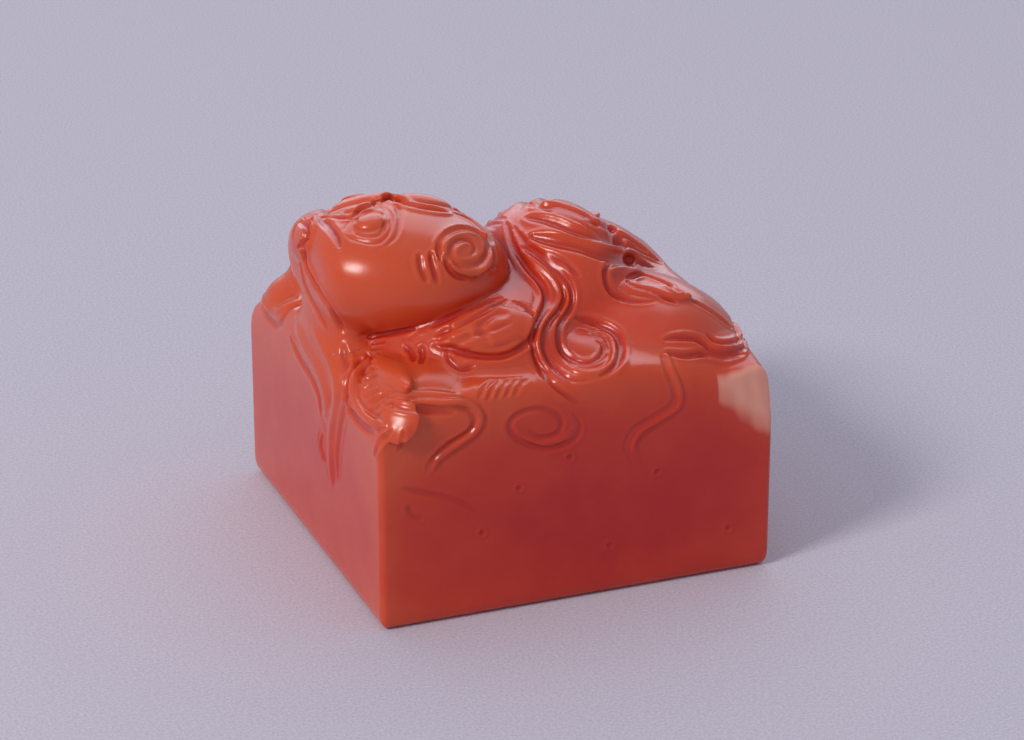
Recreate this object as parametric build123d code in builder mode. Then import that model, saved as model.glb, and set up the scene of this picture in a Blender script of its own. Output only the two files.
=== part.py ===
from build123d import *
import os
from math import sqrt

os.makedirs("parts", exist_ok=True)

# A square hand seal cut from one piece of translucent stone, with a crouching beast carved on top.
# The origin is the centre of the seal's underside, +Z is up, the beast's head looks towards -X.
# Each carved region of the stone is a solid of its own, cut where a larger one stands.

# Driving dimensions in millimetres: the squared block
side = 30.0
corner_radius = 0.9
block_height = 11.5
edge_rise = 5.5
bed_rise = 7.2
edge_softness = 0.7
cut_overrun = 20.0

# The printing face underneath: a raised rim and a square fret in each quarter
face_thickness = 1.6
face_relief = 0.8
rim_width = 1.6
fret_line = 0.9
fret_gap = 1.0
fret_turns = 3

# The slope worn off the back left corner and the chip off the front right corner
corner_drop = 2.2
corner_run = 5.5
chip_radius = 6.0
chip_depth = 0.9
chip_lift = 3.4

# The beast's trunk: each form has a length along X, a width along Y and a height
shoulder_length = 16.0
shoulder_width = 16.8
shoulder_height = 9.2
torso_length = 11.6
torso_width = 16.0
torso_height = 13.4
haunch_length = 13.6
haunch_width = 14.6
haunch_height = 9.8
far_haunch_length = 14.4
far_haunch_width = 15.0
far_haunch_height = 10.4

# The head, which the block's left side cuts flat, and what is carved on it
head_length = 15.0
head_width = 12.6
head_height = 9.0
head_trim = 1.1
far_cheek_length = 12.8
far_cheek_width = 9.6
far_cheek_height = 8.0
muzzle_length = 5.8
muzzle_width = 7.8
muzzle_height = 6.2
nose_length = 3.0
nose_width = 4.4
nose_height = 2.4
crest_length = 5.0
crest_width = 2.4
crest_height = 1.8
forelock_length = 5.4
forelock_width = 2.0
forelock_height = 1.6
brow_length = 2.8
brow_width = 1.2
brow_height = 1.1
eye_length = 2.4
eye_width = 1.6
eye_height = 1.1
ear_radius = 2.2
ear_line = 0.5
ear_reach = 2.4
ear_half_turns = 4
curl_tightening_share = 0.62
curl_half_turns = 3

# The chin tuft, and the locks of beard that hang from it down the block's left side
chin_length = 4.4
chin_width = 9.2
chin_height = 6.4
beard_lock_length = 7.0
beard_lock_width = 1.9

# Legs and paws
foreleg_length = 7.4
foreleg_width = 6.8
foreleg_height = 4.4
far_foreleg_length = 7.2
far_foreleg_width = 6.8
far_foreleg_height = 5.8
upper_arm_length = 4.4
upper_arm_width = 2.8
upper_arm_height = 1.9
forearm_length = 4.8
forearm_width = 1.5
forearm_height = 1.5
forepaw_length = 4.2
forepaw_width = 3.8
forepaw_height = 3.8
far_forepaw_length = 5.8
far_forepaw_width = 6.0
far_forepaw_height = 5.0
hind_paw_length = 6.2
hind_paw_width = 5.2
hind_paw_height = 3.8

# Shallow relief lines and locks that lie on the larger forms
line_relief = 0.4
flank_curl_radius = 2.0
flank_curl_line = 0.8
strand_width = 1.5
strand_fill_share = 0.62
mane_strand_count = 5
mane_bow = 1.2
tail_strand_count = 4
tail_bow = 0.9
shoulder_leaf_length = 6.0
shoulder_leaf_width = 2.8
back_lock_length_share = 0.485
back_lock_width = 2.0
back_lock_height = 1.6

# Finer relief on the block's upright sides
face_line_relief = 0.25
scroll_radius = 2.3
scroll_line = 0.5
tendril_width = 0.5

# Places: shares of the side along X and Y, and of the form's own height above the crown of the bed
shoulder_place_shares = (-0.133, -0.133, -0.196)
torso_place_shares = (0.103, -0.027, -0.075)
haunch_place_shares = (0.277, -0.200, -0.378)
far_haunch_place_shares = (0.253, 0.220, -0.375)
foreleg_place_shares = (-0.340, -0.353, -0.682)
far_foreleg_place_shares = (-0.280, 0.330, -0.466)
forepaw_place_shares = (-0.410, -0.437, -0.974)
far_forepaw_place_shares = (-0.400, 0.347, -0.800)
hind_paw_place_shares = (0.377, -0.353, -0.820)
far_hind_paw_place_shares = (0.377, 0.353, -0.820)
chin_place_shares = (-0.437, -0.020, -0.266)
flank_curl_place_shares = (0.075, -0.385)
far_flank_curl_place_shares = (0.000, 0.385)
shoulder_leaf_place_shares = (-0.160, -0.345)
far_leaf_place_shares = (-0.150, 0.300)

# The head's place: a share of the side along Y and of its own height above the crown of the bed
head_place_shares = (-0.083, 0.356)

# Places on the foreleg and the haunch: shares of their sizes from their centres
upper_arm_place_shares = (-0.290, -0.190, 0.360)
far_upper_arm_place_shares = (-0.440, -0.040, 0.210)
forearm_place_shares = (0.060, -0.480, 0.200)
far_forearm_place_shares = (-0.240, 0.470, 0.130)
back_lock_place_shares = (-0.040, -0.160, 0.480)
far_back_lock_place_shares = (0.010, 0.030, 0.490)

# Strands: their two ends as shares of the carrying form's length and width, the first and the last strand
mane_start_shares = ((-0.30, -0.26), (-0.30, 0.26))
mane_end_shares = ((0.44, -0.30), (0.44, 0.30))
tail_start_shares = ((-0.12, 0.36), (0.34, 0.30))
tail_end_shares = ((0.02, -0.38), (0.42, -0.22))

# Lines on an upright side: shares of half the side across, and of the edge's height above the floor
scroll_start_shares = (-0.02, 0.80)
inner_tendril_shares = ((-0.60, 0.86), (-0.50, 0.83), (-0.50, 0.76), (-0.60, 0.71), (-0.73, 0.66))
outer_tendril_shares = ((0.49, 0.86), (0.48, 0.80), (0.37, 0.75), (0.25, 0.70), (0.29, 0.61))
beard_lock_place_shares = ((-0.02, 0.76), (0.17, 0.68), (0.36, 0.64), (0.50, 0.72))

# Places on the head: shares of the head's length, width and height from its centre, along its own axes
far_cheek_place_shares = (0.010, 0.400, -0.122)
muzzle_place_shares = (-0.325, 0.332, -0.033)
nose_place_shares = (-0.420, 0.218, 0.190)
crest_place_shares = (0.110, 0.180, 0.430)
forelock_place_shares = (-0.210, 0.260, 0.410)
brow_place_shares = (-0.207, 0.013, 0.430)
eye_place_shares = (-0.160, -0.150, 0.430)
ear_place_shares = (0.290, -0.300, 0.300)
face_middle_share = 0.170
far_side_drop_share = 0.170

# Turns about X, Y and Z in degrees, and the way that the near ear faces in the head's own frame
torso_turn = (0, 12, 0)
haunch_turn = (0, 8, 0)
head_turn = (0, 5, -12)
forelock_turn = (0, 0, -43)
foreleg_turn = (0, 0, 30)
upper_arm_turn = (0, 0, -69)
far_upper_arm_turn = (0, 0, 69)
forearm_turn = (0, 0, -12)
far_forearm_turn = (0, 0, 12)
back_lock_turn = (0, 19, -15)
far_back_lock_turn = (0, 19, 15)
shoulder_leaf_turn = 5
beard_lock_turn = -62
ear_facing = (0.42, -0.55, 0.72)
far_ear_facing = (0.42, 0.55, 0.72)

half = side / 2
crown_top = block_height + bed_rise
edge_top = block_height + edge_rise
stock_height = crown_top + cut_overrun


# Helpers
def ball(length, width, height, centre, turn=(0, 0, 0)):
    """A rounded form: a ball stretched to three sizes, turned, and moved to its centre."""
    with BuildPart() as form:
        Sphere(1)
        scale(by=(length / 2, width / 2, height / 2))
    return form.part.moved(Location(centre, turn))


def skin(length, width, height, centre, turn=(0, 0, 0)):
    """The same form, larger all round by the height of a relief line."""
    swell = 2 * line_relief
    return ball(length + swell, width + swell, height + swell, centre, turn)


def over_bed(shares, height):
    """The centre of a form that sits on the bed."""
    return (side * shares[0], side * shares[1], crown_top + height * shares[2])


def on_form(centre, sizes, shares):
    """A point given by shares of a form's own sizes from its centre."""
    return tuple(middle + size * share for middle, size, share in zip(centre, sizes, shares))


def on_head(shares):
    """A point given by shares of the head's own sizes, in the head's turned frame."""
    local = Vector(head_length * shares[0], head_width * shares[1], head_height * shares[2])
    return tuple(head_frame.from_local_coords(local))


def other_side(shares):
    """The same place on the other side of the face's middle, where the head is lower."""
    return (shares[0], 2 * face_middle_share - shares[1], shares[2] - far_side_drop_share)


def ear_plane(place_shares, facing):
    """The plane that an ear's curl is drawn on, facing out from the head."""
    outward = head_frame.from_local_coords(Vector(*facing)) - Vector(*head_centre)
    return Plane(origin=on_head(place_shares), x_dir=head_frame.x_dir, z_dir=outward)


def plan_plane(shares, turn):
    """A level plane over a place on the bed, turned about the upright axis."""
    return Plane(Location((side * shares[0], side * shares[1], block_height), (0, 0, turn)))


def curl_line(radius, half_turns, start):
    """A curl drawn as half circles, each tighter than the last by the same share."""
    x, y = start
    for turn in range(half_turns):
        way = 1 if turn % 2 == 0 else -1
        ThreePointArc((x, y), (x - way * radius, y + way * radius), (x - 2 * way * radius, y))
        x -= 2 * way * radius
        radius *= curl_tightening_share


def leaf_outline(length, width):
    """A leaf drawn with two arcs that meet in points at its ends."""
    ThreePointArc((-length / 2, 0), (0, width / 2), (length / 2, 0))
    ThreePointArc((length / 2, 0), (0, -width / 2), (-length / 2, 0))


def strand_ends(centre, length, width, shares, place):
    """A strand's end, between the ends of the first and the last strand, over a form's own plan."""
    (first_x, first_y), (last_x, last_y) = shares
    x_share = first_x + (last_x - first_x) * place
    y_share = first_y + (last_y - first_y) * place
    return (centre[0] + length * x_share, centre[1] + width * y_share)


def strand_lines(centre, length, width, start_shares, end_shares, count, bow):
    """Bowed strands side by side, as faces in the current sketch."""
    for strand in range(count):
        place = strand / (count - 1)
        start_x, start_y = strand_ends(centre, length, width, start_shares, place)
        end_x, end_y = strand_ends(centre, length, width, end_shares, place)
        with BuildLine() as strand_line:
            ThreePointArc(
                (start_x, start_y),
                ((start_x + end_x) / 2 + bow, (start_y + end_y) / 2 + bow),
                (end_x, end_y),
            )
        trace(strand_line.line, line_width=strand_width * strand_fill_share)


def side_points(shares):
    """Points on an upright side, in its own plane: across from its middle, and up from the floor."""
    return [(half * across, edge_top * up) for across, up in shares]


def side_lines():
    """The scroll and the two tendrils that trail over the edge of the bed down one upright side."""
    with BuildLine() as scroll:
        curl_line(scroll_radius, curl_half_turns, side_points([scroll_start_shares])[0])
    trace(scroll.line, line_width=scroll_line)
    for tendril_shares in (inner_tendril_shares, outer_tendril_shares):
        with BuildLine() as tendril:
            Spline(*side_points(tendril_shares))
        trace(tendril.line, line_width=tendril_width)


# The upright prism of stone that everything is carved from
with BuildPart() as stock:
    with BuildSketch():
        RectangleRounded(side, side, corner_radius)
    extrude(amount=stock_height)

# The printing face: a plate whose rim and fret stand down to the resting plane
with BuildPart() as seal_face:
    with BuildSketch(Plane.XY.offset(face_relief)):
        RectangleRounded(side, side, corner_radius)
    extrude(amount=face_thickness - face_relief)
    with BuildSketch():
        RectangleRounded(side, side, corner_radius)
        Rectangle(side - 2 * rim_width, side - 2 * rim_width, mode=Mode.SUBTRACT)
        pitch = fret_line + fret_gap
        low = pitch / 2
        high = half - rim_width - fret_gap - fret_line / 2
        for quarter in range(4):
            turned = [(low, half - rim_width / 2)]
            for turn in range(fret_turns):
                step = turn * pitch
                turned.append((low + step, low + step))
                turned.append((high - step, low + step))
                turned.append((high - step, high - step))
                turned.append((low + step + pitch, high - step))
            for _ in range(quarter):
                turned = [(-y, x) for x, y in turned]
            with BuildLine():
                Polyline(*turned)
            trace(line_width=fret_line)
    extrude(amount=face_relief)
seal_face.part.label = "seal_face"
export_step(seal_face.part, "parts/seal_face.step")

# The plain squared block between the printing face and the carving
with BuildPart() as seal_block:
    with BuildSketch(Plane.XY.offset(face_thickness)):
        RectangleRounded(side, side, corner_radius)
    extrude(amount=block_height - face_thickness)
seal_block.part.label = "seal_block"
export_step(seal_block.part, "parts/seal_block.step")

# The domed bed that the beast crouches on: its crown, its rolled edge, a worn corner and a chip
dome_drop = bed_rise - edge_rise
dome_radius = (half ** 2 + dome_drop ** 2) / (2 * dome_drop)
slope_plane = Plane(
    origin=(-half, half, edge_top - corner_drop - edge_softness),
    z_dir=(-corner_drop, corner_drop, corner_run),
)
chip_offset = (chip_radius - chip_depth) / sqrt(2)
with BuildPart() as carved_bed:
    with BuildSketch(Plane.XY.offset(block_height)):
        RectangleRounded(side, side, corner_radius)
    extrude(amount=cut_overrun)
    with Locations((0, 0, crown_top - dome_radius)):
        Sphere(dome_radius, mode=Mode.INTERSECT)
    dome_top = carved_bed.faces().filter_by(GeomType.SPHERE).sort_by(Axis.Z)[-1]
    fillet(dome_top.edges(), edge_softness)
    split(bisect_by=slope_plane, keep=Keep.BOTTOM)
    with Locations((half + chip_offset, -half - chip_offset, block_height + chip_lift)):
        Sphere(chip_radius, mode=Mode.SUBTRACT)
carved_bed.part.label = "carved_bed"
export_step(carved_bed.part, "parts/carved_bed.step")

# The trunk: the humped torso, the shoulders in front of it and the two haunches behind
torso_centre = over_bed(torso_place_shares, torso_height)
torso_form = ball(torso_length, torso_width, torso_height, torso_centre, torso_turn)
with BuildPart() as beast_torso:
    add(torso_form)
    add(stock.part, mode=Mode.INTERSECT)
    for larger in (seal_block, carved_bed):
        add(larger.part, mode=Mode.SUBTRACT)
beast_torso.part.label = "beast_torso"
export_step(beast_torso.part, "parts/beast_torso.step")

shoulder_centre = over_bed(shoulder_place_shares, shoulder_height)
shoulder_form = ball(shoulder_length, shoulder_width, shoulder_height, shoulder_centre)
with BuildPart() as beast_shoulders:
    add(shoulder_form)
    add(stock.part, mode=Mode.INTERSECT)
    for larger in (carved_bed, beast_torso):
        add(larger.part, mode=Mode.SUBTRACT)
beast_shoulders.part.label = "beast_shoulders"
export_step(beast_shoulders.part, "parts/beast_shoulders.step")

haunch_centre = over_bed(haunch_place_shares, haunch_height)
haunch_form = ball(haunch_length, haunch_width, haunch_height, haunch_centre, haunch_turn)
with BuildPart() as near_haunch:
    add(haunch_form)
    add(stock.part, mode=Mode.INTERSECT)
    for larger in (seal_block, carved_bed, beast_torso, beast_shoulders):
        add(larger.part, mode=Mode.SUBTRACT)
near_haunch.part.label = "near_haunch"
export_step(near_haunch.part, "parts/near_haunch.step")

far_haunch_centre = over_bed(far_haunch_place_shares, far_haunch_height)
with BuildPart() as far_haunch:
    add(ball(far_haunch_length, far_haunch_width, far_haunch_height, far_haunch_centre))
    add(stock.part, mode=Mode.INTERSECT)
    for larger in (seal_block, carved_bed, beast_torso, beast_shoulders, near_haunch):
        add(larger.part, mode=Mode.SUBTRACT)
far_haunch.part.label = "far_haunch"
export_step(far_haunch.part, "parts/far_haunch.step")

# The head rests on the shoulders and the bed, with its face in the plane of the block's left side
head_centre = (
    -half - head_trim + head_length / 2,
    side * head_place_shares[0],
    crown_top + head_height * head_place_shares[1],
)
head_frame = Plane(Location(head_centre, head_turn))
head_form = ball(head_length, head_width, head_height, head_centre, head_turn)
far_cheek_centre = on_head(far_cheek_place_shares)
far_cheek_form = ball(far_cheek_length, far_cheek_width, far_cheek_height, far_cheek_centre, head_turn)
skull_form = head_form + far_cheek_form
with BuildPart() as beast_head:
    add(skull_form)
    for larger in (carved_bed, beast_torso, beast_shoulders):
        add(larger.part, mode=Mode.SUBTRACT)
    add(stock.part, mode=Mode.INTERSECT)
beast_head.part.label = "beast_head"
export_step(beast_head.part, "parts/beast_head.step")

muzzle_form = ball(muzzle_length, muzzle_width, muzzle_height, on_head(muzzle_place_shares))
with BuildPart() as muzzle:
    add(muzzle_form)
    add(skull_form, mode=Mode.SUBTRACT)
    add(stock.part, mode=Mode.INTERSECT)
muzzle.part.label = "muzzle"
export_step(muzzle.part, "parts/muzzle.step")

with BuildPart() as nose:
    add(ball(nose_length, nose_width, nose_height, on_head(nose_place_shares)))
    for larger in (skull_form, muzzle_form):
        add(larger, mode=Mode.SUBTRACT)
    add(stock.part, mode=Mode.INTERSECT)
nose.part.label = "nose"
export_step(nose.part, "parts/nose.step")

# The crest and the forelock over the brows, and a brow and an eye on each side of the face
crest_form = ball(crest_length, crest_width, crest_height, on_head(crest_place_shares), head_turn)
forelock_centre = on_head(forelock_place_shares)
forelock_form = ball(forelock_length, forelock_width, forelock_height, forelock_centre, forelock_turn)
with BuildPart() as head_crest:
    add(crest_form)
    add(forelock_form)
    for larger in (skull_form, muzzle_form):
        add(larger, mode=Mode.SUBTRACT)
    add(stock.part, mode=Mode.INTERSECT)
head_crest.part.label = "head_crest"
export_step(head_crest.part, "parts/head_crest.step")

near_brow_form = ball(brow_length, brow_width, brow_height, on_head(brow_place_shares), head_turn)
with BuildPart() as near_brow:
    add(near_brow_form)
    for larger in (skull_form, crest_form, forelock_form):
        add(larger, mode=Mode.SUBTRACT)
near_brow.part.label = "near_brow"
export_step(near_brow.part, "parts/near_brow.step")

far_brow_centre = on_head(other_side(brow_place_shares))
far_brow_form = ball(brow_length, brow_width, brow_height, far_brow_centre, head_turn)
with BuildPart() as far_brow:
    add(far_brow_form)
    for larger in (skull_form, muzzle_form, crest_form, forelock_form):
        add(larger, mode=Mode.SUBTRACT)
far_brow.part.label = "far_brow"
export_step(far_brow.part, "parts/far_brow.step")

with BuildPart() as near_eye:
    add(ball(eye_length, eye_width, eye_height, on_head(eye_place_shares), head_turn))
    for larger in (skull_form, near_brow_form):
        add(larger, mode=Mode.SUBTRACT)
near_eye.part.label = "near_eye"
export_step(near_eye.part, "parts/near_eye.step")

with BuildPart() as far_eye:
    add(ball(eye_length, eye_width, eye_height, on_head(other_side(eye_place_shares)), head_turn))
    for larger in (skull_form, muzzle_form, far_brow_form):
        add(larger, mode=Mode.SUBTRACT)
far_eye.part.label = "far_eye"
export_step(far_eye.part, "parts/far_eye.step")

# A curled ear on each side, a raised line that follows the round of the head
head_skin = skin(head_length, head_width, head_height, head_centre, head_turn)
far_cheek_skin = skin(far_cheek_length, far_cheek_width, far_cheek_height, far_cheek_centre, head_turn)
with BuildPart() as near_ear:
    with BuildSketch(ear_plane(ear_place_shares, ear_facing)):
        with BuildLine():
            curl_line(ear_radius, ear_half_turns, (ear_radius, 0))
        trace(line_width=ear_line)
    extrude(amount=ear_reach, both=True)
    add(head_skin, mode=Mode.INTERSECT)
    for larger in (skull_form, beast_torso.part, beast_shoulders.part):
        add(larger, mode=Mode.SUBTRACT)
near_ear.part.label = "near_ear"
export_step(near_ear.part, "parts/near_ear.step")

with BuildPart() as far_ear:
    with BuildSketch(ear_plane(other_side(ear_place_shares), far_ear_facing)):
        with BuildLine():
            curl_line(ear_radius, ear_half_turns, (ear_radius, 0))
        trace(line_width=ear_line)
    extrude(amount=ear_reach, both=True)
    add(far_cheek_skin, mode=Mode.INTERSECT)
    for larger in (skull_form, beast_torso.part, beast_shoulders.part):
        add(larger, mode=Mode.SUBTRACT)
far_ear.part.label = "far_ear"
export_step(far_ear.part, "parts/far_ear.step")

# The forelegs and forepaws come down on the corners of the bed below the head
near_foreleg_centre = over_bed(foreleg_place_shares, foreleg_height)
with BuildPart() as near_foreleg:
    add(ball(foreleg_length, foreleg_width, foreleg_height, near_foreleg_centre, foreleg_turn))
    add(stock.part, mode=Mode.INTERSECT)
    for larger in (carved_bed, beast_shoulders, beast_head):
        add(larger.part, mode=Mode.SUBTRACT)
near_foreleg.part.label = "near_foreleg"
export_step(near_foreleg.part, "parts/near_foreleg.step")

far_foreleg_centre = over_bed(far_foreleg_place_shares, far_foreleg_height)
with BuildPart() as far_foreleg:
    add(ball(far_foreleg_length, far_foreleg_width, far_foreleg_height, far_foreleg_centre))
    add(stock.part, mode=Mode.INTERSECT)
    for larger in (carved_bed, beast_shoulders, beast_head, muzzle):
        add(larger.part, mode=Mode.SUBTRACT)
far_foreleg.part.label = "far_foreleg"
export_step(far_foreleg.part, "parts/far_foreleg.step")

near_forepaw_centre = over_bed(forepaw_place_shares, forepaw_height)
with BuildPart() as near_forepaw:
    add(ball(forepaw_length, forepaw_width, forepaw_height, near_forepaw_centre))
    add(stock.part, mode=Mode.INTERSECT)
    for larger in (carved_bed, near_foreleg):
        add(larger.part, mode=Mode.SUBTRACT)
near_forepaw.part.label = "near_forepaw"
export_step(near_forepaw.part, "parts/near_forepaw.step")

far_forepaw_centre = over_bed(far_forepaw_place_shares, far_forepaw_height)
with BuildPart() as far_forepaw:
    add(ball(far_forepaw_length, far_forepaw_width, far_forepaw_height, far_forepaw_centre))
    add(stock.part, mode=Mode.INTERSECT)
    for larger in (carved_bed, far_foreleg):
        add(larger.part, mode=Mode.SUBTRACT)
far_forepaw.part.label = "far_forepaw"
export_step(far_forepaw.part, "parts/far_forepaw.step")

# A raised upper arm and a forearm lie over each foreleg
foreleg_sizes = (foreleg_length, foreleg_width, foreleg_height)
upper_arm_centre = on_form(near_foreleg_centre, foreleg_sizes, upper_arm_place_shares)
with BuildPart() as near_upper_arm:
    add(ball(upper_arm_length, upper_arm_width, upper_arm_height, upper_arm_centre, upper_arm_turn))
    add(stock.part, mode=Mode.INTERSECT)
    for larger in (carved_bed, beast_head, near_foreleg, near_forepaw):
        add(larger.part, mode=Mode.SUBTRACT)
near_upper_arm.part.label = "near_upper_arm"
export_step(near_upper_arm.part, "parts/near_upper_arm.step")

forearm_centre = on_form(near_foreleg_centre, foreleg_sizes, forearm_place_shares)
with BuildPart() as near_forearm:
    add(ball(forearm_length, forearm_width, forearm_height, forearm_centre, forearm_turn))
    add(stock.part, mode=Mode.INTERSECT)
    for larger in (carved_bed, near_foreleg, near_forepaw, near_upper_arm):
        add(larger.part, mode=Mode.SUBTRACT)
near_forearm.part.label = "near_forearm"
export_step(near_forearm.part, "parts/near_forearm.step")

far_foreleg_sizes = (far_foreleg_length, far_foreleg_width, far_foreleg_height)
far_upper_arm_centre = on_form(far_foreleg_centre, far_foreleg_sizes, far_upper_arm_place_shares)
with BuildPart() as far_upper_arm:
    add(ball(upper_arm_length, upper_arm_width, upper_arm_height, far_upper_arm_centre, far_upper_arm_turn))
    add(stock.part, mode=Mode.INTERSECT)
    for larger in (carved_bed, beast_head, muzzle, far_foreleg, far_forepaw):
        add(larger.part, mode=Mode.SUBTRACT)
far_upper_arm.part.label = "far_upper_arm"
export_step(far_upper_arm.part, "parts/far_upper_arm.step")

far_forearm_centre = on_form(far_foreleg_centre, far_foreleg_sizes, far_forearm_place_shares)
with BuildPart() as far_forearm:
    add(ball(forearm_length, forearm_width, forearm_height, far_forearm_centre, far_forearm_turn))
    add(stock.part, mode=Mode.INTERSECT)
    for larger in (carved_bed, far_foreleg, far_forepaw, far_upper_arm):
        add(larger.part, mode=Mode.SUBTRACT)
far_forearm.part.label = "far_forearm"
export_step(far_forearm.part, "parts/far_forearm.step")

# The hind paws are tucked in beside the haunches at the right-hand corners
near_hind_paw_centre = over_bed(hind_paw_place_shares, hind_paw_height)
with BuildPart() as near_hind_paw:
    add(ball(hind_paw_length, hind_paw_width, hind_paw_height, near_hind_paw_centre))
    add(stock.part, mode=Mode.INTERSECT)
    for larger in (carved_bed, near_haunch):
        add(larger.part, mode=Mode.SUBTRACT)
near_hind_paw.part.label = "near_hind_paw"
export_step(near_hind_paw.part, "parts/near_hind_paw.step")

far_hind_paw_centre = over_bed(far_hind_paw_place_shares, hind_paw_height)
with BuildPart() as far_hind_paw:
    add(ball(hind_paw_length, hind_paw_width, hind_paw_height, far_hind_paw_centre))
    add(stock.part, mode=Mode.INTERSECT)
    for larger in (carved_bed, far_haunch):
        add(larger.part, mode=Mode.SUBTRACT)
far_hind_paw.part.label = "far_hind_paw"
export_step(far_hind_paw.part, "parts/far_hind_paw.step")

# The chin tuft fills the step between the jaw and the edge of the bed
chin_centre = over_bed(chin_place_shares, chin_height)
with BuildPart() as chin_tuft:
    add(ball(chin_length, chin_width, chin_height, chin_centre))
    add(stock.part, mode=Mode.INTERSECT)
    for larger in (carved_bed, beast_shoulders, beast_head, muzzle):
        add(larger.part, mode=Mode.SUBTRACT)
chin_tuft.part.label = "chin_tuft"
export_step(chin_tuft.part, "parts/chin_tuft.step")

# Locks of beard on the block's left side, below the chin
left_side = Plane(origin=(-half, 0, 0), x_dir=(0, -1, 0), z_dir=(-1, 0, 0))
with BuildPart() as beard:
    for lock_shares in beard_lock_place_shares:
        across, up = side_points([lock_shares])[0]
        lock_place = left_side * Location((across, up, 0), (0, 0, beard_lock_turn))
        with BuildSketch(Plane(lock_place)):
            with BuildLine():
                leaf_outline(beard_lock_length, beard_lock_width)
            make_face()
    extrude(amount=face_line_relief)
beard.part.label = "beard"
export_step(beard.part, "parts/beard.step")

# Strands of mane that run back over the torso, raised by the height of a relief line
with BuildPart() as mane_strands:
    with BuildSketch(Plane.XY.offset(crown_top)):
        strand_lines(
            torso_centre,
            torso_length,
            torso_width,
            mane_start_shares,
            mane_end_shares,
            mane_strand_count,
            mane_bow,
        )
    extrude(amount=cut_overrun)
    add(skin(torso_length, torso_width, torso_height, torso_centre, torso_turn), mode=Mode.INTERSECT)
    for larger in (beast_torso, beast_shoulders, near_haunch, far_haunch, beast_head, near_ear, far_ear):
        add(larger.part, mode=Mode.SUBTRACT)
    add(stock.part, mode=Mode.INTERSECT)
mane_strands.part.label = "mane_strands"
export_step(mane_strands.part, "parts/mane_strands.step")

# Strands of tail that sweep over the near haunch towards its paw
with BuildPart() as tail_strands:
    with BuildSketch(Plane.XY.offset(block_height)):
        strand_lines(
            haunch_centre,
            haunch_length,
            haunch_width,
            tail_start_shares,
            tail_end_shares,
            tail_strand_count,
            tail_bow,
        )
    extrude(amount=cut_overrun)
    add(skin(haunch_length, haunch_width, haunch_height, haunch_centre, haunch_turn), mode=Mode.INTERSECT)
    for larger in (carved_bed, beast_torso, near_haunch, far_haunch, near_hind_paw, mane_strands):
        add(larger.part, mode=Mode.SUBTRACT)
    add(stock.part, mode=Mode.INTERSECT)
tail_strands.part.label = "tail_strands"
export_step(tail_strands.part, "parts/tail_strands.step")

# A long lock on each side of the lower back
haunch_sizes = (haunch_length, haunch_width, haunch_height)
back_lock_centre = on_form(haunch_centre, haunch_sizes, back_lock_place_shares)
back_lock_length = haunch_length * back_lock_length_share
with BuildPart() as near_back_lock:
    add(ball(back_lock_length, back_lock_width, back_lock_height, back_lock_centre, back_lock_turn))
    for larger in (beast_torso, near_haunch, mane_strands, tail_strands):
        add(larger.part, mode=Mode.SUBTRACT)
near_back_lock.part.label = "near_back_lock"
export_step(near_back_lock.part, "parts/near_back_lock.step")

far_haunch_sizes = (far_haunch_length, far_haunch_width, far_haunch_height)
far_back_lock_centre = on_form(far_haunch_centre, far_haunch_sizes, far_back_lock_place_shares)
with BuildPart() as far_back_lock:
    add(ball(back_lock_length, back_lock_width, back_lock_height, far_back_lock_centre, far_back_lock_turn))
    for larger in (beast_torso, near_haunch, far_haunch, mane_strands, tail_strands):
        add(larger.part, mode=Mode.SUBTRACT)
far_back_lock.part.label = "far_back_lock"
export_step(far_back_lock.part, "parts/far_back_lock.step")

# A leaf lock on each shoulder
with BuildPart() as shoulder_leaf:
    with BuildSketch(plan_plane(shoulder_leaf_place_shares, shoulder_leaf_turn)):
        with BuildLine():
            leaf_outline(shoulder_leaf_length, shoulder_leaf_width)
        make_face()
    extrude(amount=cut_overrun)
    add(skin(shoulder_length, shoulder_width, shoulder_height, shoulder_centre), mode=Mode.INTERSECT)
    for larger in (carved_bed, beast_shoulders, near_foreleg):
        add(larger.part, mode=Mode.SUBTRACT)
shoulder_leaf.part.label = "shoulder_leaf"
export_step(shoulder_leaf.part, "parts/shoulder_leaf.step")

with BuildPart() as far_shoulder_leaf:
    with BuildSketch(plan_plane(far_leaf_place_shares, -shoulder_leaf_turn)):
        with BuildLine():
            leaf_outline(shoulder_leaf_length, shoulder_leaf_width)
        make_face()
    extrude(amount=cut_overrun)
    with Locations((0, 0, crown_top - dome_radius)):
        Sphere(dome_radius + line_relief, mode=Mode.INTERSECT)
    for larger in (carved_bed, beast_shoulders, beast_head, far_foreleg):
        add(larger.part, mode=Mode.SUBTRACT)
far_shoulder_leaf.part.label = "far_shoulder_leaf"
export_step(far_shoulder_leaf.part, "parts/far_shoulder_leaf.step")

# A broad curl on the bed at each flank, between shoulder and haunch
with BuildPart() as near_flank_curl:
    with BuildSketch(plan_plane(flank_curl_place_shares, 0)):
        with BuildLine():
            curl_line(flank_curl_radius, curl_half_turns, (flank_curl_radius, 0))
        trace(line_width=flank_curl_line)
    extrude(amount=cut_overrun)
    with Locations((0, 0, crown_top - dome_radius)):
        Sphere(dome_radius + line_relief, mode=Mode.INTERSECT)
    for larger in (carved_bed, beast_shoulders, near_haunch):
        add(larger.part, mode=Mode.SUBTRACT)
near_flank_curl.part.label = "near_flank_curl"
export_step(near_flank_curl.part, "parts/near_flank_curl.step")

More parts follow.
